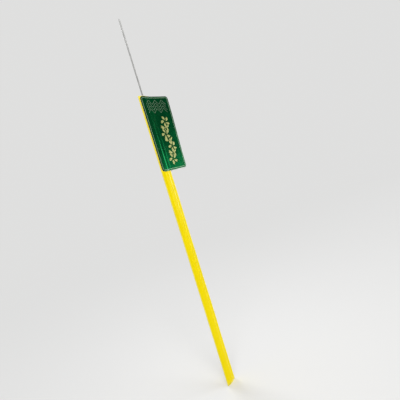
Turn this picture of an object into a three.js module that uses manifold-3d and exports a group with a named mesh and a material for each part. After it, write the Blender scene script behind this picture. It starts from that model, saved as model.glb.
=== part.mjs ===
// A lei needle in its folded card sleeve, with two label stickers that make a flag.
//
// Millimetres. Z runs along the needle, point up, from the sleeve's foot at z = 0, and the wire's
// axis is x = 0, y = 0. X runs across the flat sleeve: the fold is on the -X side, and the flag
// stands out past the glued edge on the +X side. The front faces -Y.
//
// The sleeve's section follows one line, the wall of its pocket. The card's outer face, and the
// undersides and faces of the two labels, are that line moved outwards by the plies below them.
import * as THREE from "three";
import { mergeVertices } from "three/addons/utils/BufferGeometryUtils.js";
import Module from "manifold-3d";

// Needle: a straight wire with a short point at the top and a turned-back hook at the foot
const NEEDLE_LENGTH = 381;
const WIRE_DIAMETER = 1.5;
const POINT_LENGTH = 3.5;
const NOSE_DIAMETER = 0.3;
const HOOK_GAP = 0.6;
const HOOK_LEG_LENGTH = 5;
const HOOK_END_DIAMETER = 0.9;
const FOOT_RECESS = 0.3;

// Sleeve: a strip of card folded over the wire and glued along its open edge
const SLEEVE_LENGTH = 304.8;
const SLEEVE_WIDTH = 12.7;
const CARD_THICKNESS = 0.3;
const FOLD_RADIUS = 0.15;
const FOLD_DISTANCE = 6.5;
const GLUED_MARGIN = 2.5;
const NEEDLE_CLEARANCE = 0.1;

// Labels: two alike stickers, back to back round the sleeve's top
const LABEL_LENGTH = 76.2;
const LABEL_WIDTH = 38.1;
const LABEL_THICKNESS = 0.2;
const LABEL_CORNER_RADIUS = 3;
const LABEL_INSET = 1.2;
const LABEL_STEP_RUN = 2;
const FRONT_LABEL_DROP = 0.3;
const BACK_LABEL_DROP = 1.2;

// Glue between two plies
const GLUE_THICKNESS = 0.05;

// Facets. An ease has an odd number of steps, so that none of its points lies on the straight line
// through its neighbours.
const WIRE_SIDES = 24;
const BEND_STEPS = 12;
const POINT_STEPS = 4;
const DOME_STEPS = 3;
const FOLD_STEPS = 8;
const EASE_STEPS = 9;
const CORNER_STEPS = 8;

const wasm = await Module();
wasm.setup();

const wireRadius = WIRE_DIAMETER / 2;
const hookLegX = -(WIRE_DIAMETER + HOOK_GAP);

// The fold is tight. From there the pocket widens to the wire with its clearance, stays so high over
// the hook and the wire, and closes again towards the glued margin.
const pocketRadius = wireRadius + NEEDLE_CLEARANCE;
const halfGlue = GLUE_THICKNESS / 2;
const foldX = -FOLD_DISTANCE;
const foldCentreX = foldX + CARD_THICKNESS + FOLD_RADIUS;
const openEdgeX = foldX + SLEEVE_WIDTH;
const pocketEndX = openEdgeX - GLUED_MARGIN;

// Points of a smooth half-cosine step from one point to another, both included.
function ease(from, to, steps) {
  return Array.from({ length: steps + 1 }, (_, i) => {
    const t = i / steps;
    const blend = (1 - Math.cos(Math.PI * t)) / 2;
    return new THREE.Vector2(
      THREE.MathUtils.lerp(from.x, to.x, t),
      THREE.MathUtils.lerp(from.y, to.y, blend),
    );
  });
}

// An open line moved sideways, to its left, by one distance along all its length.
function offsetLine(line, distance) {
  const normals = line.slice(1).map((point, i) => {
    const along = point.clone().sub(line[i]).normalize();
    return new THREE.Vector2(-along.y, along.x);
  });
  return line.map((point, i) => {
    const before = normals[Math.max(i - 1, 0)];
    const after = normals[Math.min(i, normals.length - 1)];
    const mitre = before.clone().add(after);
    return point.clone().addScaledVector(mitre, distance / mitre.dot(after));
  });
}

const mirrored = (line) => line.map(({ x, y }) => new THREE.Vector2(x, -y));

// One leaf's inner face, from the top of the fold to the open edge.
function leafLine() {
  const rise = ease(
    new THREE.Vector2(foldCentreX, FOLD_RADIUS),
    new THREE.Vector2(hookLegX - pocketRadius, pocketRadius),
    EASE_STEPS,
  );
  const fall = ease(
    new THREE.Vector2(pocketRadius, pocketRadius),
    new THREE.Vector2(pocketEndX, halfGlue),
    EASE_STEPS,
  );
  return [...rise, ...fall, new THREE.Vector2(openEdgeX, halfGlue)];
}

// The fold's half circle, from the back leaf to the front one, without its two ends.
function foldLine() {
  return Array.from({ length: FOLD_STEPS - 1 }, (_, i) => {
    const angle = Math.PI * (0.5 + (i + 1) / FOLD_STEPS);
    return new THREE.Vector2(
      foldCentreX + FOLD_RADIUS * Math.cos(angle),
      FOLD_RADIUS * Math.sin(angle),
    );
  });
}

// ExtrudeGeometry turns the holes the right way by itself only if the outline is counterclockwise.
function extruded(outline, holes, depth) {
  const clockwise = THREE.ShapeUtils.isClockWise(outline);
  const shape = new THREE.Shape(clockwise ? outline.toReversed() : outline);
  shape.holes = holes.map((hole) => new THREE.Path(hole));
  return new THREE.ExtrudeGeometry(shape, { depth, bevelEnabled: false });
}

function sleeveGeometry() {
  const leaf = leafLine();
  const wall = [...mirrored(leaf).reverse(), ...foldLine().reverse(), ...leaf];
  const outside = offsetLine(wall, CARD_THICKNESS);
  const pocket = wall.slice(1, -1);
  return extruded(outside, [pocket], SLEEVE_LENGTH);
}

// A label's underside: over the leaf, then down past the open edge to meet the other label.
function labelUnderside() {
  const overLeaf = offsetLine(leafLine(), CARD_THICKNESS + GLUE_THICKNESS);
  const edge = overLeaf.pop().add(new THREE.Vector2(GLUE_THICKNESS, 0));
  const landing = new THREE.Vector2(edge.x + LABEL_STEP_RUN, halfGlue);
  const beyond = new THREE.Vector2(foldX + LABEL_INSET + 2 * LABEL_WIDTH, halfGlue);
  return [...overLeaf, ...ease(edge, landing, EASE_STEPS), beyond];
}

// The sticker's round-cornered outline in x and z, as a block that is thick along y.
function labelBlock(topZ) {
  const r = LABEL_CORNER_RADIUS;
  const corners = [
    [LABEL_WIDTH - r, LABEL_LENGTH - r, 0],
    [r, LABEL_LENGTH - r, 0.5],
    [r, r, 1],
    [LABEL_WIDTH - r, r, 1.5],
  ];
  const shape = new THREE.Shape();
  for (const [x, z, turn] of corners) {
    shape.absarc(x, z, r, turn * Math.PI, (turn + 0.5) * Math.PI, false);
  }
  const outline = shape.extractPoints(CORNER_STEPS).shape;
  const height = 4 * (pocketRadius + CARD_THICKNESS + LABEL_THICKNESS);
  const block = extruded(outline, [], height);
  return block
    .translate(0, 0, -height / 2)
    .rotateX(Math.PI / 2)
    .translate(foldX + LABEL_INSET, 0, topZ - LABEL_LENGTH);
}

function solidOf(geometry) {
  const bare = geometry.clone();
  bare.deleteAttribute("normal");
  bare.deleteAttribute("uv");
  const merged = mergeVertices(bare);
  return new wasm.Manifold(
    new wasm.Mesh({
      numProp: 3,
      vertProperties: merged.attributes.position.array,
      triVerts: new Uint32Array(merged.index.array),
    }),
  );
}

function geometryOf(solid) {
  const { vertProperties, triVerts } = solid.getMesh();
  const geometry = new THREE.BufferGeometry();
  geometry.setAttribute("position", new THREE.BufferAttribute(vertProperties, 3));
  geometry.setIndex(new THREE.BufferAttribute(triVerts, 1));
  geometry.computeVertexNormals();
  return geometry;
}

// side is 1 for the back label, on +Y, and -1 for the front one. Its top lies drop below the sleeve's.
function labelGeometry(side, drop) {
  const underside = labelUnderside();
  const face = offsetLine(underside, LABEL_THICKNESS);
  const section = [...underside, ...face.reverse()];
  const sheet = extruded(side > 0 ? section : mirrored(section), [], SLEEVE_LENGTH);
  const block = labelBlock(SLEEVE_LENGTH - drop);
  return geometryOf(solidOf(sheet).intersect(solidOf(block)));
}

// Stations of a round end, from its pole to the full radius: how far each lies from the pole.
function domeStations(radius) {
  return Array.from({ length: DOME_STEPS }, (_, i) => {
    const angle = (Math.PI / 2) * ((i + 1) / DOME_STEPS);
    return { depth: radius * (1 - Math.cos(angle)), radius: radius * Math.sin(angle) };
  });
}

// The wire's stations, from the hook's end round the bend and up the shank to the point. Each has
// its place in x and z, its radius and the direction the wire runs in, as an angle from +X.
function wireStations() {
  const bendRadius = -hookLegX / 2;
  const bendZ = FOOT_RECESS + wireRadius + bendRadius;
  const tipZ = FOOT_RECESS + NEEDLE_LENGTH;
  const down = -Math.PI / 2;
  const up = Math.PI / 2;
  const endRadius = HOOK_END_DIAMETER / 2;
  const noseRadius = NOSE_DIAMETER / 2;
  const legTopZ = bendZ + HOOK_LEG_LENGTH;
  const legEnd = domeStations(endRadius).map(({ depth, radius }) => ({
    x: hookLegX, z: legTopZ - depth, radius, angle: down,
  }));
  const bend = Array.from({ length: BEND_STEPS + 1 }, (_, i) => {
    const turn = (Math.PI * i) / BEND_STEPS;
    return {
      x: -bendRadius * (1 + Math.cos(turn)),
      z: bendZ - bendRadius * Math.sin(turn),
      radius: wireRadius,
      angle: down + turn,
    };
  });
  const point = Array.from({ length: POINT_STEPS }, (_, i) => {
    const t = i / POINT_STEPS;
    return {
      x: 0,
      z: tipZ - POINT_LENGTH * (1 - t),
      radius: THREE.MathUtils.lerp(wireRadius, noseRadius, t * t * (2 - t)),
      angle: up,
    };
  });
  const nose = domeStations(noseRadius).reverse().map(({ depth, radius }) => ({
    x: 0, z: tipZ - depth, radius, angle: up,
  }));
  const poles = [{ x: hookLegX, z: legTopZ }, { x: 0, z: tipZ }];
  return { stations: [...legEnd, ...bend, ...point, ...nose], poles };
}

// A round bar through the stations: one ring of points at each, joined by quads, and a pole at
// either end.
function needleGeometry() {
  const { stations, poles } = wireStations();
  const positions = stations.flatMap(({ x, z, radius, angle }) =>
    Array.from({ length: WIRE_SIDES }, (_, i) => {
      const around = (2 * Math.PI * i) / WIRE_SIDES;
      const across = radius * Math.cos(around);
      return [
        x + across * Math.sin(angle),
        radius * Math.sin(around),
        z - across * Math.cos(angle),
      ];
    }).flat(),
  );
  const index = [];
  const ringPoint = (ring, side) => ring * WIRE_SIDES + (side % WIRE_SIDES);
  const lastRing = stations.length - 1;
  const firstPole = stations.length * WIRE_SIDES;
  for (const { x, z } of poles) positions.push(x, 0, z);
  for (let side = 0; side < WIRE_SIDES; side++) {
    index.push(firstPole, ringPoint(0, side + 1), ringPoint(0, side));
    index.push(firstPole + 1, ringPoint(lastRing, side), ringPoint(lastRing, side + 1));
    for (let ring = 0; ring < lastRing; ring++) {
      const a = ringPoint(ring, side);
      const b = ringPoint(ring, side + 1);
      const c = ringPoint(ring + 1, side + 1);
      const d = ringPoint(ring + 1, side);
      index.push(a, b, c, a, c, d);
    }
  }
  const geometry = new THREE.BufferGeometry();
  geometry.setAttribute("position", new THREE.Float32BufferAttribute(positions, 3));
  geometry.setIndex(index);
  geometry.computeVertexNormals();
  return geometry;
}

function piece(name, geometry, color, roughness, metalness) {
  const material = new THREE.MeshStandardMaterial({ color, roughness, metalness });
  const mesh = new THREE.Mesh(geometry, material);
  mesh.name = name;
  return mesh;
}

const leiNeedle = new THREE.Group();
leiNeedle.name = "lei_needle";
leiNeedle.add(
  piece("needle", needleGeometry(), 0xa9a9a6, 0.3, 1),
  piece("sleeve", sleeveGeometry(), 0xf2d40a, 0.3, 0),
  piece("front_label", labelGeometry(-1, FRONT_LABEL_DROP), 0x0b4a2f, 0.2, 0),
  piece("back_label", labelGeometry(1, BACK_LABEL_DROP), 0x0b4a2f, 0.2, 0),
);

export default leiNeedle;
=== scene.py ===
"""A lei needle in its folded card sleeve, with a two-sided sticker flag: the finished surfaces.

Lengths are metres in the model's own frame. +Z runs up along the needle to its point, +X across the
flat sleeve from its fold to the flag, and the front looks along -Y. Places and overall sizes come
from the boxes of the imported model. The settings hold what a maker would choose: thicknesses, lean
and twist, the print's layout, colours, and the studio.
"""
import math

import bpy
import numpy as np
from bpy.props import FloatProperty, FloatVectorProperty, IntProperty, PointerProperty
from mathutils import Matrix, Vector


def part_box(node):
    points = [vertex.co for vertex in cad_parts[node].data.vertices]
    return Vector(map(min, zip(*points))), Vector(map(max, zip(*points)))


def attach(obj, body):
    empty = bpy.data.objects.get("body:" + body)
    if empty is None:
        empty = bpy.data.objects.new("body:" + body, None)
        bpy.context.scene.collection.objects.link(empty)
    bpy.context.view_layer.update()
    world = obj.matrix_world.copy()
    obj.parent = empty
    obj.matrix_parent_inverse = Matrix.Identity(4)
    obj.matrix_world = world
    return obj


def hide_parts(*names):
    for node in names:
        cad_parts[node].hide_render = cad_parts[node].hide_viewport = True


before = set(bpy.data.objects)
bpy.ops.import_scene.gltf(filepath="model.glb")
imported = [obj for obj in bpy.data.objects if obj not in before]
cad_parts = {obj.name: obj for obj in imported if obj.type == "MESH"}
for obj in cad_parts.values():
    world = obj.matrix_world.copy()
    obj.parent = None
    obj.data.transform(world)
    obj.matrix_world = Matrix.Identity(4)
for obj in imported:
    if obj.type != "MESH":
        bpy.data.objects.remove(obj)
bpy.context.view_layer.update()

bl_info = {
    "name": "Lei Needle",
    "version": (1, 0, 0),
    "blender": (4, 5, 0),
    "location": "View3D > Sidebar > Lei Needle",
    "description": "Builds a lei needle with its card sleeve, its printed sticker flag and a studio",
    "category": "Add Mesh",
}

# The two sides of the flat needle, as the sign of y
FRONT, BACK = -1, 1
SIDE_NAMES = {FRONT: "front", BACK: "back"}

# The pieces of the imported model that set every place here
WIRE_LOW, WIRE_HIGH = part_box("needle")
SLEEVE_LOW, SLEEVE_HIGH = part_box("sleeve")
LABEL_BOXES = {FRONT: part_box("front_label"), BACK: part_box("back_label")}
WIRE_RADIUS = WIRE_HIGH.x
HOOK_LEG_X = WIRE_LOW.x + WIRE_RADIUS
OPEN_EDGE_X = SLEEVE_HIGH.x
LABEL_LEFT_X = LABEL_BOXES[FRONT][0].x
LABEL_RIGHT_X = LABEL_BOXES[FRONT][1].x
LABEL_FOOT_Z = LABEL_BOXES[FRONT][0].z
LABEL_LENGTH = LABEL_BOXES[FRONT][1].z - LABEL_FOOT_Z
LABEL_WIDTH = LABEL_RIGHT_X - LABEL_LEFT_X

# The materials of the sleeve and the stickers, in the order of their slots
FACE, CUT, LINING = 0, 1, 2
SHARP_ANGLE = math.radians(50)
FOLD_WEAR_AND_HIGHLIGHT = 0.9  # the fold's share of the pale worn colour, where that of a cut edge is 1: partly wear, partly a painted highlight along the fold
GROUND_START = 1 / 6  # the share of the point along which the ground skin sets in

# The waves of the open edge: share of the lean, waves in one wavelength, and phase
WAVES = ((0.65, 1.0, 0.7), (0.35, 2.3, 2.1))

# A printed rib's section, as shares of its half width and its height: a low arch on a sunk foot
RIB = np.array([(-1, 0), (-0.75, 0.8), (0, 1), (0.75, 0.8), (1, 0), (0.85, -1), (-0.85, -1)])

# Shares in the drawing of the garland
BLOSSOM_REACH = 0.46  # a blossom's radius, of the pitch of the blossoms
VINE_REACH = 0.42  # the length of a stretch of vine, of the same pitch
PETAL_FOOT = 0.16  # where a petal starts, of the blossom's radius
PETAL_SWELL = 0.235  # a petal's half width, of the same radius
PETAL_TURN = 0.55  # how far a petal turns on its way out, in radians
PETAL_LEAN = 1.4  # above 1 it moves a petal's widest place outwards
PETAL_END = 0.02  # a petal's width at its ends, of its greatest width
LEAF_SWELL = 0.19  # a leaf's half width, of its length
LEAF_BEND = 0.45  # what a leaf loses of its angle on its way
LEAF_END = 0.03  # a leaf's width at its ends, of its greatest width

# Facets: how many sides, steps, rows or points make up each curve and surface
WIRE_SIDES = 40
CAP_STEPS = 6
LEG_STEPS = 7
BEND_STEPS = 32
SHANK_STEPS = 89
POINT_STEPS = 24
LINE_STEPS = 899
STEP_STEPS = 499
FLAT_STEPS = 5
EASE_STEPS = 17
FOLD_STEPS = 16
SLEEVE_STEPS = 149
CORNER_STEPS = 9
STICKER_COLUMNS = 96
STICKER_ROWS = 84
ARC_STEPS = 8
BORDER_STEPS = 59
PETAL_STEPS = 16
LEAF_STEPS = 14
VINE_STEPS = 12
PEAK_POINTS = 27
FLOOR_CORNERS = 96

# Name, place, width, height and power in watts of each soft light, and where they all aim
LIGHTS = (
    ("key", (-0.6, -0.65, 1.35), 0.7, 0.7, 10.2),
    ("fill", (0.45, -0.8, 1.2), 0.6, 0.6, 3.0),
    ("rim", (0.3, 0.9, 1.05), 0.6, 0.6, 5.0),
    ("sheen", (0.93, -0.78, 0.17), 0.4, 0.16, 2.3),
    ("crease_sheen", (1.18, -0.21, 0.25), 0.5, 0.3, 2.5),
)
LIGHT_TARGET = (0.01, 0, 0.2)

FLOOR_RADIUS = 12.0
FADE_START, FADE_END = 0.15, 0.8


def length_property(name, default, description):
    """A length in metres."""
    return FloatProperty(
        name=name, description=description, default=default, min=0, precision=5,
        subtype="DISTANCE", unit="LENGTH",
    )


def angle_property(name, degrees, description):
    """An angle, given here in degrees."""
    return FloatProperty(
        name=name, description=description, default=math.radians(degrees),
        subtype="ANGLE", unit="ROTATION",
    )


def colour_property(name, default, description):
    """A linear colour."""
    return FloatVectorProperty(
        name=name, description=description, default=default, size=3, min=0, max=1,
        subtype="COLOR",
    )


def count_property(name, default, least, description):
    """A whole number and the least that it may be."""
    return IntProperty(name=name, description=description, default=default, min=least)


class LeiNeedleWire(bpy.types.PropertyGroup):
    """The bare wire, its point and its hook."""

    point_length: length_property("Point length", 0.0035, "Length of the ground point")
    nose_diameter: length_property("Nose diameter", 0.0003, "Diameter of the rounded tip")
    hook_leg: length_property("Hook leg", 0.005, "Length of the turned-back leg of the hook")
    hook_end: length_property("Hook end", 0.0009, "Diameter of the hook's filed end")
    colour: colour_property("Steel", (0.44, 0.44, 0.43), "Colour of the drawn steel")
    ground: colour_property("Ground steel", (0.31, 0.31, 0.305), "Colour of the ground ends")


class LeiNeedleSleeve(bpy.types.PropertyGroup):
    """The folded strip of coated card."""

    card: length_property("Card", 0.0003, "Thickness of the card")
    glue: length_property("Glue", 0.00005, "Thickness of the glue between two plies")
    fold_radius: length_property("Fold radius", 0.00015, "Inner radius of the tight fold")
    margin: length_property("Glued margin", 0.0025, "Width of the glued margin at the open edge")
    lean: length_property("Lean", 0.00022, "How far the open edge waves out of the middle plane")
    wave: length_property("Wave", 0.131, "Length of one wave of the open edge")
    # The edge wear's reach also sets the width of the painted highlight along the fold
    edge_round: length_property("Edge rounding", 0.00004, "Rounding of the cut edges")
    edge_wear: length_property("Edge wear", 0.0005, "Reach of the wear from open edge and fold")
    end_wear: length_property("End wear", 0.0012, "Reach of the wear from the cut ends")
    colour: colour_property("Yellow", (0.895, 0.72, 0.002), "Colour of the coated card")
    # The worn yellow is wear at the cut edges and scuffs, and along the fold it is also a painted
    # highlight
    worn: colour_property("Worn yellow", (0.95, 0.90, 0.28), "Colour where the coat is thin")
    core: colour_property("Card core", (0.84, 0.72, 0.30), "Colour of the cut edges")


class LeiNeedleSticker(bpy.types.PropertyGroup):
    """The two stickers that make the flag."""

    thickness: length_property("Thickness", 0.0002, "Thickness of one sticker")
    corner: length_property("Corner radius", 0.003, "Radius of the round corners")
    step: length_property("Step", 0.002, "Run of the step down past the sleeve's open edge")
    twist: length_property("Twist", 0.00114, "How far the free edge's ends leave the middle plane")
    edge_round: length_property("Edge rounding", 0.00004, "Rounding of the cut edges")
    edge_wear: length_property("Edge wear", 0.0002, "Reach of the wear from the cut edges")
    green: colour_property("Green", (0.0006, 0.060, 0.016), "Colour of the printed face")
    deep: colour_property("Deep green", (0.0003, 0.038, 0.011), "Its colour under heavy ink")
    paper: colour_property("Paper", (0.80, 0.80, 0.77), "Colour of the back and the cut edges")


class LeiNeedlePrint(bpy.types.PropertyGroup):
    """The generic print on both stickers: a border line, a garland and rows of zigzag."""

    relief: length_property("Relief", 0.000012, "Height of the printed foil above the sticker")
    border_inset: length_property("Border inset", 0.0015, "From the edge to the border line")
    border_width: length_property("Border width", 0.0005, "Width of the border line")
    blossoms: count_property("Blossoms", 4, 2, "Blossoms in the garland")
    petals: count_property("Petals", 5, 3, "Petals of one blossom")
    garland_start: length_property("Garland start", 0.0045, "From the sticker's end to the garland")
    garland_end: length_property("Garland end", 0.0565, "From the same end to its far end")
    garland_line: length_property("Garland line", 0.0152, "From the free edge to its middle line")
    garland_swing: length_property("Garland swing", 0.0021, "Step of the blossoms to either side")
    vine_swing: length_property("Vine swing", 0.0009, "Swing of the vine to either side")
    vine_width: length_property("Vine width", 0.00056, "Width of the vine")
    leaf_length: length_property("Leaf length", 0.0052, "Length of a leaf")
    leaf_gap: length_property("Leaf gap", 0.0007, "From the vine's middle to a leaf's foot")
    leaf_angle: angle_property("Leaf angle", 77.35, "Angle at which a leaf leaves the vine")
    zigzags: count_property("Zigzags", 4, 1, "Rows of zigzag past the garland")
    zigzag_peaks: count_property("Zigzag peaks", 3, 1, "Peaks in one row")
    zigzag_gap: length_property("Zigzag gap", 0.005, "From the garland's far end to the first row")
    zigzag_margin: length_property("Zigzag margin", 0.0055, "From the free edge to the rows")
    zigzag_pitch: length_property("Zigzag pitch", 0.0029, "From one row of zigzag to the next")
    zigzag_period: length_property("Zigzag period", 0.009, "From one peak to the next")
    zigzag_swing: length_property("Zigzag swing", 0.0022, "From a row's middle to its peaks")
    zigzag_width: length_property("Zigzag width", 0.0006, "Width of the zigzag line")
    gold: colour_property("Gold", (0.39, 0.41, 0.12), "Colour of the garland")
    pale: colour_property("Pale line", (0.20, 0.36, 0.21), "Colour of the border line")
    muted: colour_property("Muted line", (0.055, 0.135, 0.06), "Colour of the zigzags")


class LeiNeedleStudio(bpy.types.PropertyGroup):
    """The camera, the floor and the even light."""

    azimuth: angle_property("Azimuth", -49.23, "Where the camera stands, 0 in front of the needle")
    elevation: angle_property("Elevation", 3.88, "How far the camera looks down")
    roll: angle_property("Roll", -16.96, "How far the camera is turned about its own axis")
    distance: length_property("Distance", 0.32, "From the camera to the point that it aims at")
    aim: FloatVectorProperty(
        name="Aim", description="Where the camera aims", default=(0.01545, -0.01823, 0.19133),
        size=3, precision=5, subtype="TRANSLATION", unit="LENGTH",
    )
    lens: FloatProperty(
        name="Lens", description="Focal length in millimetres", default=28.8, min=1,
        subtype="DISTANCE_CAMERA", unit="CAMERA",
    )
    floor: colour_property("Floor", (0.76, 0.76, 0.755), "Colour of the floor")
    backdrop: colour_property("Backdrop", (0.74, 0.74, 0.735), "Colour behind the needle")
    ambient: FloatProperty(
        name="Ambient", description="Strength of the even light", default=0.48, min=0,
    )


class LeiNeedleSettings(bpy.types.PropertyGroup):
    """All settings of the needle and its studio."""

    wire: PointerProperty(type=LeiNeedleWire)
    sleeve: PointerProperty(type=LeiNeedleSleeve)
    sticker: PointerProperty(type=LeiNeedleSticker)
    printed: PointerProperty(type=LeiNeedlePrint)
    studio: PointerProperty(type=LeiNeedleStudio)


# Meshes


def grid_quads(rows, columns, closed=False):
    """Quads of a grid of points kept row by row. A closed one joins its last column to its first."""
    row = np.arange(rows - 1)[:, None] * columns
    column = np.arange(columns if closed else columns - 1)
    after = (column + 1) % columns
    corners = [row + column, row + after, row + columns + after, row + columns + column]
    return np.stack(corners, axis=-1).reshape(-1, 4)


def loop_quads(first, second):
    """Quads between two closed loops of point numbers with as many points each."""
    return np.stack([first, np.roll(first, -1), np.roll(second, -1), second], axis=-1)


def signed_volume(points, faces):
    """Six times the volume inside the faces, each one a fan of triangles from its first corner."""
    total = 0.0
    for size in {len(face) for face in faces}:
        corners = points[np.array([face for face in faces if len(face) == size])]
        for i in range(1, size - 1):
            cross = np.cross(corners[:, i], corners[:, i + 1])
            total += np.einsum("ij,ij->", corners[:, 0], cross)
    return total


def new_piece(name, points, faces, materials, face_materials=None, sharp=None):
    """A mesh object at the origin from points and closed faces, turned so that they point outwards."""
    points = np.asarray(points, float).reshape(-1, 3)
    faces = [list(map(int, face)) for face in faces]
    if signed_volume(points, faces) < 0:
        faces = [face[::-1] for face in faces]
    mesh = bpy.data.meshes.new(name)
    mesh.from_pydata(points.tolist(), [], faces)
    mesh.shade_smooth()
    if face_materials is not None:
        mesh.polygons.foreach_set("material_index", np.asarray(face_materials, np.int32))
    if sharp is not None:
        mesh.set_sharp_from_angle(angle=sharp)
    for material in materials:
        mesh.materials.append(material)
    mesh.validate()
    mesh.update()
    piece = bpy.data.objects.new(name, mesh)
    bpy.context.scene.collection.objects.link(piece)
    return piece


def keep_values(piece, name, values):
    """Keeps one number for each point of a piece, for its material to read."""
    attribute = piece.data.attributes.new(name, "FLOAT", "POINT")
    attribute.data.foreach_set("value", np.asarray(values, np.float32).ravel())


# Surfaces of the wire, the sleeve and the stickers


def steps(start, end, count):
    """The count + 1 numbers that share out the way from start to end evenly."""
    return np.linspace(start, end, count + 1)


def eased(t):
    """Half a cosine wave from 0 to 1, (1 - cos(pi t)) / 2, with t held between 0 and 1."""
    return (1 - np.cos(np.pi * np.clip(t, 0, 1))) / 2


def moved_out(x, y, distance):
    """The line y(x) moved along its upward normal, (-dy/dx, 1) over its length, by a distance."""
    slope = np.gradient(y, x)
    scale = distance / np.sqrt(1 + slope**2)
    return x - slope * scale, y + scale


def stations(x, z, radius, angle, ground):
    """Stations of a round bar as rows: x, z, radius, the angle that it runs in from +X, and how far
    its skin is ground off."""
    return np.stack(np.broadcast_arrays(x, z, radius, angle, ground), axis=-1)


def wire_stations(wire):
    """The wire's line from the hook's end round its bend and up to the tip, and its two poles.

    The leg ends in a quarter circle and tapers down to the bend, a half circle whose middle is
    halfway between leg and shank. The point narrows by t^2 (2 - t) into a small round nose."""
    down, up = -np.pi / 2, np.pi / 2
    bend_radius = -HOOK_LEG_X / 2
    bend_z = WIRE_LOW.z + WIRE_RADIUS + bend_radius
    leg_top = bend_z + wire.hook_leg
    point_z = WIRE_HIGH.z - wire.point_length
    end, nose = wire.hook_end / 2, wire.nose_diameter / 2

    quarter = steps(0, np.pi / 2, CAP_STEPS)[1:]
    leg_end = stations(
        HOOK_LEG_X, leg_top - end * (1 - np.cos(quarter)), end * np.sin(quarter), down, 1.0,
    )
    t = steps(0, 1, LEG_STEPS)[1:-1]
    leg_z = leg_top - end - (leg_top - end - bend_z) * t
    leg = stations(HOOK_LEG_X, leg_z, end + (WIRE_RADIUS - end) * eased(t), down, 1 - t)
    turn = steps(0, np.pi, BEND_STEPS)
    bend = stations(
        -bend_radius * (1 + np.cos(turn)), bend_z - bend_radius * np.sin(turn), WIRE_RADIUS,
        down + turn, 0.0,
    )
    shank = stations(0.0, steps(bend_z, point_z, SHANK_STEPS)[1:-1], WIRE_RADIUS, up, 0.0)
    t = steps(0, 1, POINT_STEPS)[:-1]
    narrowed = WIRE_RADIUS + (nose - WIRE_RADIUS) * t * t * (2 - t)
    ground = eased(t / GROUND_START)
    point = stations(0.0, point_z + wire.point_length * t, narrowed, up, ground)
    quarter = quarter[::-1]
    tip = stations(
        0.0, WIRE_HIGH.z - nose * (1 - np.cos(quarter)), nose * np.sin(quarter), up, 1.0,
    )
    poles = [[HOOK_LEG_X, 0, leg_top], [0, 0, WIRE_HIGH.z]]
    return np.concatenate([leg_end, leg, bend, shank, point, tip]), poles


def wire_surface(wire):
    """A round bar through the wire's stations: a ring of points at each, square to the wire, closed
    by a pole at either end."""
    line, poles = wire_stations(wire)
    x, z, radius, angle, ground = (column[:, None] for column in line.T)
    around = steps(0, 2 * np.pi, WIRE_SIDES)[:-1]
    across = radius * np.cos(around)
    ring = [x + across * np.sin(angle), radius * np.sin(around), z - across * np.cos(angle)]
    points = np.stack(np.broadcast_arrays(*ring), axis=-1).reshape(-1, 3)
    low_pole, high_pole = len(points), len(points) + 1
    start = np.arange(WIRE_SIDES)
    end = start + (len(line) - 1) * WIRE_SIDES
    faces = [*grid_quads(len(line), WIRE_SIDES, closed=True)]
    faces += [*np.stack([np.roll(start, -1), start, np.full(WIRE_SIDES, low_pole)], axis=-1)]
    faces += [*np.stack([end, np.roll(end, -1), np.full(WIRE_SIDES, high_pole)], axis=-1)]
    kept = np.concatenate([np.repeat(ground.ravel(), WIRE_SIDES), [1, 1]])
    return np.concatenate([points, poles]), faces, kept


class SleeveForm:
    """The sleeve's section as a height over the middle plane, and the flag's beyond it.

    A leaf's inner face rises by half a cosine from the tight fold to the height of the pocket, stays
    there over hook and wire, comes down by half a cosine to the glued margin, and runs on to the open
    edge. The sticker's underside is that line moved out by card and glue, then half a cosine down to
    the middle plane.
    """

    def __init__(self, settings):
        sleeve, sticker = settings.sleeve, settings.sticker
        self.card = sleeve.card
        self.half_glue = sleeve.glue / 2
        self.pocket = SLEEVE_HIGH.y - sleeve.card
        self.fold_radius = sleeve.fold_radius
        self.fold_x = SLEEVE_LOW.x + sleeve.card + sleeve.fold_radius
        self.rise_x = HOOK_LEG_X - self.pocket
        self.flat_x = self.pocket
        self.margin_x = OPEN_EDGE_X - sleeve.margin
        self.lean, self.wave = sleeve.lean, sleeve.wave
        self.twist = sticker.twist
        leaf = steps(self.fold_x, OPEN_EDGE_X, LINE_STEPS)
        x, y = moved_out(leaf, self.wall(leaf), sleeve.card + sleeve.glue)
        edge = OPEN_EDGE_X + sleeve.glue
        past = steps(edge, LABEL_RIGHT_X + sticker.step, STEP_STEPS)
        down = y[-1] + (self.half_glue - y[-1]) * eased((past - edge) / sticker.step)
        self.under_x = np.concatenate([x, past])
        self.under_y = np.concatenate([y, down])

    def wall(self, x):
        """The height of a leaf's inner face at x."""
        up = eased((x - self.fold_x) / (self.rise_x - self.fold_x))
        down = eased((x - self.flat_x) / (self.margin_x - self.flat_x))
        rise = self.fold_radius + (self.pocket - self.fold_radius) * up
        return rise + (self.half_glue - self.pocket) * down

    def sticker(self, x, lift):
        """The height at x of the surface that lies lift above a sticker's underside."""
        line_x, line_y = moved_out(self.under_x, self.under_y, lift)
        return np.interp(x, line_x, line_y)

    def sway(self, x, z):
        """How far the middle plane leans towards +Y at x, z.

        The open edge waves as a sum of two sines along z, growing by half a cosine from the pocket.
        Past it the flag twists by the square of the overhang, to the front at its top and to the
        back at its foot.
        """
        turn = 2 * np.pi * z / self.wave
        edge = self.lean * sum(part * np.sin(rate * turn + phase) for part, rate, phase in WAVES)
        leaning = edge * eased((x - self.flat_x) / (OPEN_EDGE_X - self.flat_x))
        over = np.clip((x - OPEN_EDGE_X) / (LABEL_RIGHT_X - OPEN_EDGE_X), 0, 1)
        up = (z - LABEL_FOOT_Z) / LABEL_LENGTH
        twist = -self.twist * over**2 * np.sin(np.pi * (up - 0.5))
        return leaning * (1 - over**2) + twist


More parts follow.
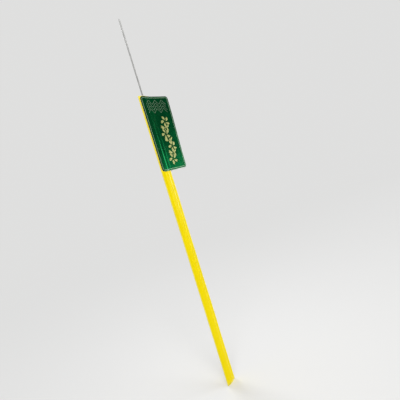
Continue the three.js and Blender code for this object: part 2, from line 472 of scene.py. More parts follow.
def sleeve_section(form, rounding, shrink):
    """The card's closed section as x and y, its outer skin first, then its back edge, inner skin and
    front edge, and how many points a skin has. The inner face goes along the front leaf, round the
    fold and along the back leaf, and each skin lies outside it by its depth. Shrink draws both skins
    and both edges in."""
    leaf = np.concatenate([
        steps(OPEN_EDGE_X, form.margin_x, FLAT_STEPS)[:-1],
        steps(form.margin_x, form.flat_x, EASE_STEPS)[:-1],
        steps(form.flat_x, form.rise_x, FLAT_STEPS)[:-1],
        steps(form.rise_x, form.fold_x, EASE_STEPS)[:-1],
    ])
    around = -np.pi / 2 - steps(0, np.pi, FOLD_STEPS)
    height = form.wall(leaf)
    x = np.concatenate([leaf, form.fold_x + form.fold_radius * np.cos(around), leaf[::-1]])
    y = np.concatenate([-height, form.fold_radius * np.sin(around), height[::-1]])
    along = np.stack([np.gradient(x), np.gradient(y)])
    along /= np.linalg.norm(along, axis=0)
    out_x, out_y = -along[1], along[0]

    def skin(depth):
        drawn = np.minimum(x + out_x * depth, OPEN_EDGE_X - rounding - shrink)
        return np.stack([drawn, y + out_y * depth], axis=-1)

    outer, inner = skin(form.card - shrink), skin(shrink)
    corner = OPEN_EDGE_X - shrink
    nearer = form.half_glue + rounding + shrink
    farther = form.half_glue + form.card - rounding - shrink
    back = np.array([[corner, farther], [corner, nearer]])
    return np.concatenate([outer, back, inner[::-1], back[::-1] * [1, -1]]), len(x)


def sleeve_surface(form, sleeve):
    """The section carried up the sleeve, its middle plane swaying, and closed at both cut ends by a
    strip between the two skins. Wear falls off by exp(-d) from the cut edges, and the fold's pale band
    by exp(-d^2) from the fold, d being the distance over its reach; that band is partly wear and
    partly a painted highlight."""
    rounding = sleeve.edge_round
    full, count = sleeve_section(form, rounding, 0)
    drawn, _ = sleeve_section(form, rounding, rounding)
    top = SLEEVE_HIGH.z
    middle = steps(0, top, SLEEVE_STEPS)[1:-1]
    z = np.concatenate([[0, rounding], middle, [top - rounding, top]])
    section = np.repeat(full[None], len(z), axis=0)
    section[[0, -1]] = drawn
    x, y = section[..., 0], section[..., 1]
    rows = np.broadcast_to(z[:, None], x.shape)
    points = np.stack([x, y + form.sway(x, rows), rows], axis=-1)

    ring = len(full)
    outer = np.arange(count)
    inner = 2 * count + 1 - outer
    strip = np.stack([outer[:-1], inner[:-1], inner[1:], outer[1:]], axis=-1)
    ends = [[count - 1, count + 2, count + 1, count], [0, ring - 1, ring - 2, ring - 3]]
    cap = np.concatenate([strip, ends])
    sides = grid_quads(len(z), ring, closed=True)
    faces = np.concatenate([sides, cap, cap[:, ::-1] + (len(z) - 1) * ring])
    column = sides[:, 0] % ring
    kinds = np.where(column < count - 1, FACE, CUT)
    kinds[(column >= count + 2) & (column < ring - 3)] = LINING
    kinds = np.concatenate([kinds, np.full(2 * len(cap), CUT)])

    edge = np.exp(-(OPEN_EDGE_X - x) / sleeve.edge_wear)
    end = np.exp(-np.minimum(rows, top - rows) / sleeve.end_wear)
    # The fold's pale band: partly wear, partly a painted highlight
    fold = np.exp(-(((x - SLEEVE_LOW.x) / sleeve.edge_wear) ** 2))
    return points, faces, kinds, np.clip(edge + end + FOLD_WEAR_AND_HIGHLIGHT * fold, 0, 1)


def rounded_grid(width, length, radius):
    """Points over a rectangle with round corners, row by row from its foot. A row at the depth
    r (1 - cos a) from an end is drawn in by r (1 - sin a) at either side."""
    corner = steps(0, np.pi / 2, CORNER_STEPS)
    depth = radius * (1 - np.cos(corner))
    inset = radius * (1 - np.sin(corner))
    middle = np.linspace(radius, length - radius, STICKER_ROWS)[1:-1]
    z = np.concatenate([depth, middle, length - depth[::-1]])
    drawn = np.concatenate([inset, np.zeros(len(middle)), inset[::-1]])
    share = np.linspace(0, 1, STICKER_COLUMNS)
    x = drawn[:, None] + share * (width - 2 * drawn[:, None])
    return x, np.broadcast_to(z[:, None], x.shape)


def rim_loop(rows, columns):
    """The point numbers round the outside of a grid kept row by row."""
    first, last = np.arange(columns), np.arange(columns) + (rows - 1) * columns
    left = np.arange(1, rows - 1) * columns
    return np.concatenate([first, left + columns - 1, last[::-1], left[::-1]])


def sticker_surface(form, sticker, side):
    """A sticker as two grids, its face and its underside, joined by a rim of two loops. Each point's
    height over the middle plane comes from the form, and the back sticker is mirrored in y. Wear
    falls off by exp(-d) from the cut edge, d being the distance over its reach."""
    low = LABEL_BOXES[side][0]
    rounding = sticker.edge_round

    def outline(inset):
        width, length = LABEL_WIDTH - 2 * inset, LABEL_LENGTH - 2 * inset
        x, z = rounded_grid(width, length, sticker.corner - inset)
        return x + low.x + inset, z + low.z + inset

    def laid(x, z, lift):
        return np.stack([x, side * form.sticker(x, lift) + form.sway(x, z), z], axis=-1)

    x, z = outline(rounding)
    rows, columns = x.shape
    rim = rim_loop(rows, columns)
    edge_x, edge_z = (part.ravel()[rim] for part in outline(0))
    face, under = laid(x, z, sticker.thickness), laid(x, z, 0.0)
    upper = laid(edge_x, edge_z, sticker.thickness - rounding)
    lower = laid(edge_x, edge_z, rounding)
    points = np.concatenate([face.reshape(-1, 3), under.reshape(-1, 3), upper, lower])
    total = rows * columns
    upper_loop = np.arange(len(rim)) + 2 * total
    lower_loop = upper_loop + len(rim)
    quads = grid_quads(rows, columns)
    faces = np.concatenate([
        quads, quads[:, ::-1] + total, loop_quads(upper_loop, rim),
        loop_quads(lower_loop, upper_loop), loop_quads(rim + total, lower_loop),
    ])
    counts = (len(quads), len(quads), len(rim), 2 * len(rim))
    kinds = np.repeat((FACE, CUT, FACE, CUT), counts)
    across = np.minimum(x - low.x, LABEL_RIGHT_X - x)
    reach = np.minimum(across, np.minimum(z - low.z, low.z + LABEL_LENGTH - z))
    worn = np.exp(-reach.ravel() / sticker.edge_wear)
    return points, faces, kinds, np.concatenate([worn, np.zeros(total), np.ones(2 * len(rim))])


# The print, drawn as ribs of foil on the flat sticker. p runs along it in the reading direction,
# from one end, and q across it, from the free edge towards the fold.


def sticker_place(settings, side):
    """A function that lays p, q and a lift on one sticker. The front one reads upwards and the back
    one downwards, both with the fold at the top of the print."""
    form = SleeveForm(settings)
    low, high = LABEL_BOXES[side]

    def place(p, q, lift):
        x = LABEL_RIGHT_X - q
        z = low.z + p if side == FRONT else high.z - p
        height = form.sticker(x, settings.sticker.thickness) + lift
        return np.stack(np.broadcast_arrays(x, side * height + form.sway(x, z), z), axis=-1)

    return place


def rib_surface(paths, half_widths, relief, place, closed=False):
    """Low round-topped ribs along paths. paths holds p and q as (ribs, stations, 2), and half_widths
    the rib's half width as (ribs, stations). The section is carried square to the path, and place
    lays p, q and a lift on the sticker. An open rib has a flat face at either end."""
    ribs, count, _ = paths.shape
    if closed:
        along = np.roll(paths, -1, axis=1) - np.roll(paths, 1, axis=1)
    else:
        along = np.gradient(paths, axis=1)
    along = along / np.linalg.norm(along, axis=-1, keepdims=True)
    across = np.stack([-along[..., 1], along[..., 0]], axis=-1)
    spread = half_widths[..., None] * RIB[:, 0]
    flat = paths[:, :, None, :] + spread[..., None] * across[:, :, None, :]
    lift = np.broadcast_to(RIB[:, 1] * relief, flat.shape[:-1])
    points = place(flat[..., 0], flat[..., 1], lift).reshape(-1, 3)
    sides = len(RIB)
    first = np.arange(sides)
    last = first + (count - 1) * sides
    quads = grid_quads(count, sides, closed=True)
    if closed:
        quads = np.concatenate([quads, loop_quads(last, first)])
    start = (np.arange(ribs) * count * sides)[:, None]
    faces = [*(quads[None] + start[..., None]).reshape(-1, 4)]
    if not closed:
        faces += [*(first[::-1] + start)]
        faces += [*(last + start)]
    return points, faces


def joined(surfaces):
    """Several surfaces as one: their points in a row, and their faces numbered on."""
    points, faces, count = [], [], 0
    for some_points, some_faces in surfaces:
        points.append(some_points)
        faces += [np.asarray(face) + count for face in some_faces]
        count += len(some_points)
    return np.concatenate(points), faces


def border_ribs(settings, place):
    """The border line: the sticker's own outline drawn in, a quarter circle at each corner and a
    straight run from it to the next."""
    inset = settings.printed.border_inset
    radius = settings.sticker.corner - inset
    far_p, far_q = LABEL_LENGTH - 2 * inset - radius, LABEL_WIDTH - 2 * inset - radius
    centres = [(far_p, far_q), (radius, far_q), (radius, radius), (far_p, radius)]
    arcs = []
    for quarter, centre in enumerate(centres):
        turn = (quarter + steps(0, 1, ARC_STEPS)) * np.pi / 2
        arcs.append(centre + radius * np.stack([np.cos(turn), np.sin(turn)], axis=-1))
    straight = steps(0, 1, BORDER_STEPS)[1:-1, None]
    runs = []
    for arc, after in zip(arcs, arcs[1:] + arcs[:1]):
        runs += [arc, arc[-1] + (after[0] - arc[-1]) * straight]
    path = np.concatenate(runs) + inset
    widths = np.full((1, len(path)), settings.printed.border_width / 2)
    return rib_surface(path[None], widths, settings.printed.relief, place, closed=True)


def swelling(t, least, lean=1.0):
    """A width along t from 0 to 1: least at both ends, and 1 where sin(pi t^lean) is."""
    return least + (1 - least) * np.sin(np.pi * t**lean)


def petal_ribs(centres, radius, printed, place):
    """Blossoms: petals that run out from near each centre, each turning a little like a pinwheel."""
    t = steps(0, 1, PETAL_STEPS)
    start = 2 * np.pi * np.arange(printed.petals) / printed.petals
    reach = radius * (PETAL_FOOT + (1 - PETAL_FOOT) * t)
    angle = start[:, None] + PETAL_TURN * t
    petal = np.stack([reach * np.cos(angle), reach * np.sin(angle)], axis=-1)
    paths = (centres[:, None, None, :] + petal[None]).reshape(-1, len(t), 2)
    widths = radius * PETAL_SWELL * swelling(t, PETAL_END, PETAL_LEAN)
    return rib_surface(paths, np.broadcast_to(widths, paths.shape[:2]), printed.relief, place)


def leaf_ribs(feet, angles, printed, place):
    """Leaves: short ribs that bend a little as they leave the vine. A path adds up its steps, which
    keep their length while their angle falls."""
    t = steps(0, 1, LEAF_STEPS)
    turn = angles[:, None] * (1 - LEAF_BEND * t)
    step = printed.leaf_length * np.gradient(t)[:, None]
    run = np.cumsum(np.stack([np.cos(turn), np.sin(turn)], axis=-1) * step, axis=1)
    paths = feet[:, None, :] + run
    widths = printed.leaf_length * LEAF_SWELL * swelling(t, LEAF_END)
    return rib_surface(paths, np.broadcast_to(widths, paths.shape[:2]), printed.relief, place)


def garland_ribs(settings, place):
    """The garland: blossoms in a line that steps from side to side, and a stretch of vine between
    each two, which follows a sine and has four leaves."""
    printed = settings.printed
    number = np.arange(printed.blossoms)
    pitch = (printed.garland_end - printed.garland_start) / printed.blossoms
    line = printed.garland_line + printed.garland_swing * np.cos(np.pi * number)
    centres = np.stack([printed.garland_start + pitch * (number + 0.5), line], axis=-1)
    between = (centres[:-1] + centres[1:]) / 2
    t = steps(0, 1, VINE_STEPS)
    vine_p = between[:, :1] + (t - 0.5) * pitch * VINE_REACH
    vine_q = between[:, 1:] + printed.vine_swing * np.sin(2 * np.pi * t)
    vine = np.stack([vine_p, vine_q], axis=-1)
    vine_widths = np.full(vine.shape[:2], printed.vine_width / 2)
    sides = np.tile([1.0, -1.0], len(between))
    feet = np.repeat(between, 2, axis=0)
    feet[:, 1] += printed.leaf_gap * sides
    angles = printed.leaf_angle * sides
    return joined([
        petal_ribs(centres, BLOSSOM_REACH * pitch, printed, place),
        rib_surface(vine, vine_widths, printed.relief, place),
        leaf_ribs(feet, angles, printed, place),
        leaf_ribs(feet, np.pi - angles, printed, place),
    ])


def zigzag_ribs(settings, place):
    """Rows of zigzag past the garland: q runs across the sticker and p swings as a triangle wave."""
    printed = settings.printed
    periods = np.linspace(0, printed.zigzag_peaks, PEAK_POINTS * printed.zigzag_peaks)
    q = printed.zigzag_margin + printed.zigzag_period * periods
    swing = printed.zigzag_swing * (1 - np.abs(2 * (periods % 1) - 1) * 2)
    rows = np.arange(printed.zigzags)[:, None] * printed.zigzag_pitch
    p = printed.garland_end + printed.zigzag_gap + rows + swing
    paths = np.stack(np.broadcast_arrays(p, q), axis=-1)
    widths = np.full(paths.shape[:2], printed.zigzag_width / 2)
    return rib_surface(paths, widths, printed.relief, place)


# Materials


def shaded(colour, *shares):
    """A colour times one share, or times one for each channel."""
    return tuple(np.multiply(colour, shares))


# Where a Mix node has its two values and its result, for numbers and for colours
MIX_SOCKETS = {"FLOAT": (slice(2, 4), 0), "RGBA": (slice(6, 8), 2)}


def cleared(owner):
    """The node tree of a material or a world, emptied."""
    owner.use_nodes = True
    owner.node_tree.nodes.clear()
    return owner.node_tree


class Nodes:
    """A node tree under construction."""

    def __init__(self, tree):
        self.tree = tree

    def fill(self, socket, value):
        """Links an output to a socket, or sets the socket's value. A colour gets an alpha of 1."""
        if isinstance(value, bpy.types.NodeSocket):
            self.tree.links.new(value, socket)
        elif socket.type == "RGBA":
            socket.default_value = (*value, 1)
        else:
            socket.default_value = value

    def add(self, kind, *values, settings=(), **sockets):
        """A shader node. Values fill its first sockets in their order, and keywords the sockets of
        their name, an underscore standing for a space."""
        node = self.tree.nodes.new(f"ShaderNode{kind}")
        for key, value in dict(settings).items():
            setattr(node, key, value)
        for socket, value in zip(node.inputs, values):
            self.fill(socket, value)
        for key, value in sockets.items():
            self.fill(node.inputs[key.replace("_", " ")], value)
        return node

    def math(self, operation, *values, clamp=False):
        """The result of a Math node."""
        settings = {"operation": operation, "use_clamp": clamp}
        return self.add("Math", *values, settings=settings).outputs[0]

    def times(self, first, second):
        """The product of two numbers."""
        return self.math("MULTIPLY", first, second)

    def mixed(self, kind, factor, values):
        """The result of a Mix node for numbers or colours."""
        node = self.add("Mix", factor, settings={"data_type": kind})
        places, result = MIX_SOCKETS[kind]
        for socket, value in zip(node.inputs[places], values):
            self.fill(socket, value)
        return node.outputs[result]

    def mix(self, factor, *colours):
        """A colour mixed from two others."""
        return self.mixed("RGBA", factor, colours)

    def blend(self, factor, *numbers):
        """A number mixed from two others."""
        return self.mixed("FLOAT", factor, numbers)

    def spread(self, value, low=0.0, high=1.0, start=0.0, end=1.0, smooth=False):
        """A value's run from start to end spread between low and high."""
        kind = "SMOOTHSTEP" if smooth else "LINEAR"
        return self.add("MapRange", value, start, end, low, high,
                        settings={"interpolation_type": kind}).outputs[0]

    def noise(self, where, scale, **sockets):
        """Cloud noise at a place."""
        return self.add("TexNoise", Vector=where, Scale=scale, **sockets).outputs[0]

    def stretched(self, where, x, y, z):
        """Coordinates scaled along each axis."""
        return self.add("Mapping", Vector=where, Scale=(x, y, z)).outputs[0]


class Effect(Nodes):
    """A shader node group under construction, which turns a Vector and numbers into one number."""

    def __init__(self, name, *numbers):
        super().__init__(bpy.data.node_groups.new(name, "ShaderNodeTree"))
        sockets = self.tree.interface
        sockets.new_socket("Vector", in_out="INPUT", socket_type="NodeSocketVector")
        for number in numbers:
            sockets.new_socket(number, in_out="INPUT", socket_type="NodeSocketFloat")
        sockets.new_socket("Value", in_out="OUTPUT", socket_type="NodeSocketFloat")
        self.given = self.tree.nodes.new("NodeGroupInput").outputs[: 1 + len(numbers)]

    def finished(self, value):
        """The group, putting out the value."""
        self.fill(self.tree.nodes.new("NodeGroupOutput").inputs[0], value)
        return self.tree


def mottle_effect(name):
    """Cloudy variation: two sizes of noise blended and spread over 0 to 1."""
    effect = Effect(name, "Scale")
    vector, scale = effect.given
    coarse = effect.noise(vector, scale, Detail=3.0, Roughness=0.55)
    fine = effect.noise(vector, effect.times(scale, 6.3), Detail=2.0)
    return effect.finished(effect.spread(effect.blend(0.32, coarse, fine), start=0.32, end=0.68))


def fibre_effect(name):
    """Paper fibres: noise drawn out along Z, over a finer even grain."""
    effect = Effect(name, "Scale")
    vector, scale = effect.given
    drawn = effect.noise(effect.stretched(vector, 1.0, 1.0, 0.22), scale, Detail=4.0, Roughness=0.6)
    grain = effect.noise(vector, effect.times(scale, 2.4), Detail=2.0)
    return effect.finished(effect.blend(0.3, drawn, grain))


def scuff_effect(name):
    """Handling marks: thin curved scratches where a warped noise passes its middle value, broken up
    by a second noise, and a dust of small spots."""
    effect = Effect(name, "Scale", "Amount")
    vector, scale, amount = effect.given
    warped = effect.noise(vector, scale, Detail=1.0, Distortion=1.6)
    off_middle = effect.math("ABSOLUTE", effect.math("SUBTRACT", warped, 0.5))
    scratches = effect.spread(off_middle, 1.0, 0.0, end=0.012)
    patches = effect.noise(vector, effect.times(scale, 0.6), Detail=2.0)
    broken = effect.times(scratches, effect.spread(patches, start=0.54, end=0.66))
    cells = effect.add("TexVoronoi", Vector=vector, Scale=effect.times(scale, 4.0), Randomness=1.0)
    spots = effect.math("LESS_THAN", cells.outputs["Distance"], 0.045)
    marks = effect.math("MAXIMUM", broken, effect.times(spots, 0.5))
    return effect.finished(effect.math("MULTIPLY", marks, amount, clamp=True))


EFFECTS = {"Mottle": mottle_effect, "Fibre": fibre_effect, "Scuff": scuff_effect}


class Finish(Nodes):
    """A material under construction. Its shader starts with the values that are the same all over."""

    def __init__(self, name, **values):
        self.material = bpy.data.materials.new(name)
        super().__init__(cleared(self.material))
        self.where = self.add("TexCoord").outputs["Object"]
        self.shader = self.add("BsdfPrincipled", **values)
        self.add("OutputMaterial", self.shader.outputs[0])

    def effect(self, name, scale, **sockets):
        """A shared effect on the Object coordinates. Its group is built when it is first used."""
        group = bpy.data.node_groups.get(name) or EFFECTS[name](name)
        return self.add("Group", settings={"node_tree": group}, Vector=self.where, Scale=scale,
                        **sockets).outputs[0]

    def kept(self, name):
        """The numbers that a piece keeps under a name."""
        return self.add("Attribute", settings={"attribute_name": name}).outputs["Fac"]

    def surfaced(self, colour, roughness, height, depth):
        """The material with its colour, its roughness, and a height of 0 to 1 times a depth."""
        bump = self.add("Bump", Height=height, Distance=depth, Strength=1.0)
        self.fill(self.shader.inputs["Base Color"], colour)
        self.fill(self.shader.inputs["Roughness"], roughness)
        self.fill(self.shader.inputs["Normal"], bump.outputs[0])
        return self.material


def steel_material(wire):
    """Drawn wire: fine lines along it under a cloudy dull film. Its ground ends have rings instead,
    and are duller."""
    finish = Finish("Drawn steel", Metallic=1.0)
    ground = finish.kept("ground")
    lines = finish.noise(finish.stretched(finish.where, 1.0, 1.0, 0.012), 5200.0, Detail=3.0)
    rings = finish.noise(finish.stretched(finish.where, 0.05, 0.05, 1.0), 9000.0, Detail=2.0)
    film = finish.effect("Mottle", 160.0)
    drawn = finish.mix(film, shaded(wire.colour, 0.74), wire.colour)
    rough = finish.math("MULTIPLY_ADD", ground, 0.1, finish.spread(film, 0.38, 0.48))
    height = finish.blend(ground, lines, rings)
    return finish.surfaced(finish.mix(ground, drawn, wire.ground), rough, height, 0.000001)


def card_material(sleeve):
    """Coated card: cloudy yellow with fibres under a tinted gloss and fine scuffs, rubbed paler in
    patches along its cut edges, and paler along its fold, partly from wear and partly as a painted
    highlight."""
    finish = Finish(
        "Coated yellow card", Specular_IOR_Level=0.06, Specular_Tint=(1.0, 0.9, 0.1),
        Coat_Weight=0.01, Coat_Roughness=0.12,
    )
    clouds = finish.effect("Mottle", 55.0)
    fibres = finish.effect("Fibre", 1500.0)
    scuffs = finish.effect("Scuff", 120.0, Amount=0.5)
    patches = finish.spread(finish.effect("Mottle", 420.0), 0.3, 1.0)
    # The kept wear is pale worn coat at the cut edges, and along the fold also a painted highlight
    rubbed = finish.times(finish.times(finish.kept("wear"), patches), 0.75)
    worn = finish.math("MAXIMUM", rubbed, finish.times(scuffs, 0.2))
    coated = finish.mix(clouds, shaded(sleeve.colour, 0.955, 0.93, 0.9), sleeve.colour)
    rough = finish.math("MULTIPLY_ADD", worn, 0.2, finish.spread(clouds, 0.26, 0.36))
    height = finish.math("MULTIPLY_ADD", scuffs, -0.6, fibres)
    return finish.surfaced(finish.mix(worn, coated, sleeve.worn), rough, height, 0.000006)


def paper_material(name, colour, scale):
    """Bare paper or card core: matt, with fibres and faint grey clouds."""
    finish = Finish(name, Specular_IOR_Level=0.3)
    fibres = finish.effect("Fibre", scale)
    clouds = finish.times(finish.effect("Mottle", 240.0), fibres)
    mixed = finish.mix(clouds, shaded(colour, 0.86), colour)
    return finish.surfaced(mixed, finish.spread(fibres, 0.62, 0.85), fibres, 0.00003)


def sticker_material(sticker):
    """The printed face: cloudy green ink under a clear gloss that has a faint orange peel, fine
    scratches, and rubbed paler specks along its edge."""
    finish = Finish(
        "Green sticker face", Metallic=0.85, Specular_IOR_Level=0.05,
        Specular_Tint=(0.5, 1.0, 0.65),
    )
    clouds = finish.effect("Mottle", 70.0)
    scuffs = finish.effect("Scuff", 150.0, Amount=0.8)
    chips = finish.spread(finish.effect("Mottle", 1300.0), start=0.35, end=0.75, smooth=True)
    peel = finish.noise(finish.where, 900.0, Detail=1.0)
    pale = shaded(sticker.paper, 0.45)
    rubbed = finish.times(finish.times(finish.kept("wear"), chips), 0.7)
    colour = finish.mix(rubbed, finish.mix(clouds, sticker.deep, sticker.green), pale)
    colour = finish.mix(finish.times(scuffs, 0.12), colour, pale)
    rough = finish.math("MULTIPLY_ADD", scuffs, 0.25, finish.spread(clouds, 0.2, 0.3))
    height = finish.math("MULTIPLY_ADD", scuffs, -0.5, peel)
    return finish.surfaced(colour, rough, height, 0.000004)


def ink_material(name, colour, metallic, smoothest, roughest):
    """Printed foil or ink: thin in places, so that its colour and gloss vary in small clouds."""
    finish = Finish(name, Metallic=metallic)
    clouds = finish.effect("Mottle", 520.0)
    scuffs = finish.effect("Scuff", 190.0, Amount=0.7)
    thin = shaded(colour, 0.72)
    inked = finish.mix(finish.times(scuffs, 0.4), finish.mix(clouds, thin, colour), thin)
    grain = finish.noise(finish.where, 2600.0, Detail=2.0)
    return finish.surfaced(inked, finish.spread(clouds, smoothest, roughest), grain, 0.000008)


# Operators for the pieces


class LEINEEDLE_OT_wire(bpy.types.Operator):
    """Build the bare wire with its point and its hook"""

    bl_idname = "leineedle.wire"
    bl_label = "Needle Wire"

    def execute(self, context):
        wire = context.scene.lei_needle.wire
        points, faces, ground = wire_surface(wire)
        piece = new_piece("needle_wire", points, faces, [steel_material(wire)])
        keep_values(piece, "ground", ground)
        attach(piece, "needle_body")
        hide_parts("needle")
        return {"FINISHED"}


class LEINEEDLE_OT_sleeve(bpy.types.Operator):
    """Build the folded card sleeve"""

    bl_idname = "leineedle.sleeve"
    bl_label = "Card Sleeve"

    def execute(self, context):
        settings = context.scene.lei_needle
        sleeve = settings.sleeve
        points, faces, kinds, wear = sleeve_surface(SleeveForm(settings), sleeve)
        materials = [
            card_material(sleeve),
            paper_material("Cut card edge", sleeve.core, 2600.0),
            paper_material("Sleeve lining", shaded(sleeve.colour, 0.92), 1500.0),
        ]
        piece = new_piece("card_sleeve", points, faces, materials, kinds, SHARP_ANGLE)
        # Wear at the cut edges; along the fold it also carries a painted highlight
        keep_values(piece, "wear", wear)
        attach(piece, "sleeve_body")
        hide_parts("sleeve")
        return {"FINISHED"}


class LEINEEDLE_OT_stickers(bpy.types.Operator):
    """Build the two stickers that make the flag"""

    bl_idname = "leineedle.stickers"
    bl_label = "Stickers"

    def execute(self, context):
        settings = context.scene.lei_needle
        sticker = settings.sticker
        form = SleeveForm(settings)
        materials = [
            sticker_material(sticker), paper_material("Sticker paper", sticker.paper, 2200.0),
        ]
        for side, name in SIDE_NAMES.items():
            points, faces, kinds, wear = sticker_surface(form, sticker, side)
            piece = new_piece(f"{name}_sticker", points, faces, materials, kinds, SHARP_ANGLE)
            keep_values(piece, "wear", wear)
            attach(piece, "sleeve_body")
            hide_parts(f"{name}_label")
        return {"FINISHED"}


def print_on_both(settings, name, draw, ink):
    """One printed pattern on both stickers, riding with them. It has to lie within their edges."""
    for side, side_name in SIDE_NAMES.items():
        points, faces = draw(settings, sticker_place(settings, side))
        low, high = LABEL_BOXES[side]
        x, _, z = points.T
        if min(x) < low.x or max(x) > high.x or min(z) < low.z or max(z) > high.z:
            raise ValueError(f"The {name} runs past the edge of the sticker")
        piece = new_piece(f"{side_name}_{name}", points, faces, [ink])
        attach(piece, "sleeve_body")


class LEINEEDLE_OT_border(bpy.types.Operator):
    """Print the pale border line on both stickers"""

    bl_idname = "leineedle.border"
    bl_label = "Border Line"

    def execute(self, context):
        settings = context.scene.lei_needle
        ink = ink_material("Pale border ink", settings.printed.pale, 0.0, 0.3, 0.45)
        print_on_both(settings, "border", border_ribs, ink)
        return {"FINISHED"}


class LEINEEDLE_OT_garland(bpy.types.Operator):
    """Print the gold garland of blossoms on both stickers"""

    bl_idname = "leineedle.garland"
    bl_label = "Garland"

    def execute(self, context):
        settings = context.scene.lei_needle
        ink = ink_material("Gold ink", settings.printed.gold, 0.25, 0.3, 0.48)
        print_on_both(settings, "garland", garland_ribs, ink)
        return {"FINISHED"}


class LEINEEDLE_OT_zigzags(bpy.types.Operator):
    """Print the muted rows of zigzag on both stickers"""

    bl_idname = "leineedle.zigzags"
    bl_label = "Zigzags"

    def execute(self, context):
        settings = context.scene.lei_needle
        ink = ink_material("Muted green ink", settings.printed.muted, 0.0, 0.32, 0.5)
        print_on_both(settings, "zigzags", zigzag_ribs, ink)
        return {"FINISHED"}


# The studio


def seen_directly(nodes):
    """1 for a ray from the camera, a mirror or glass, and 0 for light that is scattered."""
    path = nodes.add("LightPath").outputs
    seen = nodes.math("MAXIMUM", path["Is Camera Ray"], path["Is Glossy Ray"])
    return nodes.math("MAXIMUM", seen, path["Is Transmission Ray"])


def light_world(studio):
    """An even white light, seen directly as the pale backdrop."""
    world = bpy.data.worlds.new("Studio")
    bpy.context.scene.world = world
    nodes = Nodes(cleared(world))
    even = nodes.add("Background", Color=(1, 1, 1), Strength=studio.ambient).outputs[0]
    pale = nodes.add("Background", Color=studio.backdrop, Strength=1.0).outputs[0]
    nodes.add("OutputWorld", nodes.add("MixShader", seen_directly(nodes), even, pale).outputs[0])


def floor_material(studio):
    """A matt floor that passes into the backdrop's colour away from the needle. At a distance r from
    it, with the camera at c, r / (r + c) is spread smoothly from the fade's start to its end."""
    material = bpy.data.materials.new("Studio floor")
    nodes = Nodes(cleared(material))
    where = nodes.add("TexCoord").outputs["Object"]
    away = nodes.add("VectorMath", where, settings={"operation": "LENGTH"}).outputs["Value"]
    share = nodes.math("DIVIDE", away, nodes.math("ADD", away, studio.distance))
    fade = nodes.spread(share, start=FADE_START, end=FADE_END, smooth=True)
    matt = nodes.add("BsdfPrincipled", Base_Color=studio.floor, Roughness=0.9).outputs[0]
    pale = nodes.add("Emission", Color=studio.backdrop, Strength=1.0).outputs[0]
    seen = nodes.times(fade, seen_directly(nodes))
    nodes.add("OutputMaterial", nodes.add("MixShader", seen, matt, pale).outputs[0])
    return material


def lay_floor(studio):
    """A round floor under the needle's foot."""
    around = steps(0, 2 * np.pi, FLOOR_CORNERS)[:-1]
    points = FLOOR_RADIUS * np.stack([np.cos(around), np.sin(around), 0 * around], axis=-1)
    mesh = bpy.data.meshes.new("floor")
    mesh.from_pydata(points.tolist(), [], [list(range(FLOOR_CORNERS))])
    mesh.materials.append(floor_material(studio))
    floor = bpy.data.objects.new("floor", mesh)
    bpy.context.scene.collection.objects.link(floor)


def place_camera(studio):
    """The camera at its azimuth, elevation and distance from the aim, turned by its roll."""
    level = math.cos(studio.elevation)
    back = Vector((
        math.sin(studio.azimuth) * level, -math.cos(studio.azimuth) * level,
        math.sin(studio.elevation),
    ))
    camera = bpy.data.objects.new("camera", bpy.data.cameras.new("camera"))
    upright = (-back).to_track_quat("-Z", "Y").to_matrix()
    turned = upright @ Matrix.Rotation(studio.roll, 3, "Z")
    place = Vector(studio.aim) + back * studio.distance
    camera.matrix_world = Matrix.Translation(place) @ turned.to_4x4()
    camera.data.lens = studio.lens
    camera.data.clip_start = 0.01
    bpy.context.scene.collection.objects.link(camera)
    bpy.context.scene.camera = camera


def hang_light(name, place, width, height, power):
    """A rectangular soft light at a place, aimed at the lights' target."""
    light = bpy.data.lights.new(name, "AREA")
    light.shape = "RECTANGLE"
    light.size, light.size_y = width, height
    light.energy = power
    lamp = bpy.data.objects.new(name, light)
    lamp.visible_camera = False
    lamp.location = place
    lamp.rotation_mode = "QUATERNION"
    lamp.rotation_quaternion = (Vector(LIGHT_TARGET) - Vector(place)).to_track_quat("-Z", "Y")
    bpy.context.scene.collection.objects.link(lamp)


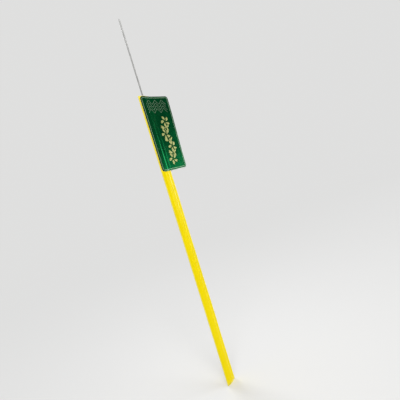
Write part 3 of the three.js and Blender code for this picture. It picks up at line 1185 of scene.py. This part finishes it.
class LEINEEDLE_OT_studio(bpy.types.Operator):
    """Set the camera, the floor and the lights"""

    bl_idname = "leineedle.studio"
    bl_label = "Studio"

    def execute(self, context):
        studio = context.scene.lei_needle.studio
        context.scene.view_settings.view_transform = "Standard"
        light_world(studio)
        lay_floor(studio)
        place_camera(studio)
        for light in LIGHTS:
            hang_light(*light)
        return {"FINISHED"}


class LEINEEDLE_PT_panel(bpy.types.Panel):
    """Lists the settings and the pieces in the sidebar"""

    bl_label = "Lei Needle"
    bl_idname = "LEINEEDLE_PT_panel"
    bl_space_type = "VIEW_3D"
    bl_region_type = "UI"
    bl_category = "Lei Needle"

    def draw(self, context):
        settings = context.scene.lei_needle
        for group in ("wire", "sleeve", "sticker", "printed", "studio"):
            box = self.layout.box()
            box.label(text=group.title())
            values = getattr(settings, group)
            for name in values.__annotations__:
                box.prop(values, name)
        for operator in OPERATORS:
            self.layout.operator(operator.bl_idname)


GROUPS = (
    LeiNeedleWire, LeiNeedleSleeve, LeiNeedleSticker, LeiNeedlePrint, LeiNeedleStudio,
    LeiNeedleSettings,
)
OPERATORS = (
    LEINEEDLE_OT_wire, LEINEEDLE_OT_sleeve, LEINEEDLE_OT_stickers, LEINEEDLE_OT_border,
    LEINEEDLE_OT_garland, LEINEEDLE_OT_zigzags, LEINEEDLE_OT_studio,
)
CLASSES = (*GROUPS, *OPERATORS, LEINEEDLE_PT_panel)


def register():
    """Adds the classes and hangs the settings on the scene."""
    for item in CLASSES:
        bpy.utils.register_class(item)
    bpy.types.Scene.lei_needle = PointerProperty(type=LeiNeedleSettings)


def unregister():
    """Takes the settings and the classes away again."""
    del bpy.types.Scene.lei_needle
    for item in reversed(CLASSES):
        bpy.utils.unregister_class(item)


def main():
    """Builds every piece and the studio."""
    register()
    bpy.ops.leineedle.wire()
    bpy.ops.leineedle.sleeve()
    bpy.ops.leineedle.stickers()
    bpy.ops.leineedle.border()
    bpy.ops.leineedle.garland()
    bpy.ops.leineedle.zigzags()
    bpy.ops.leineedle.studio()


if __name__ == "__main__":
    main()
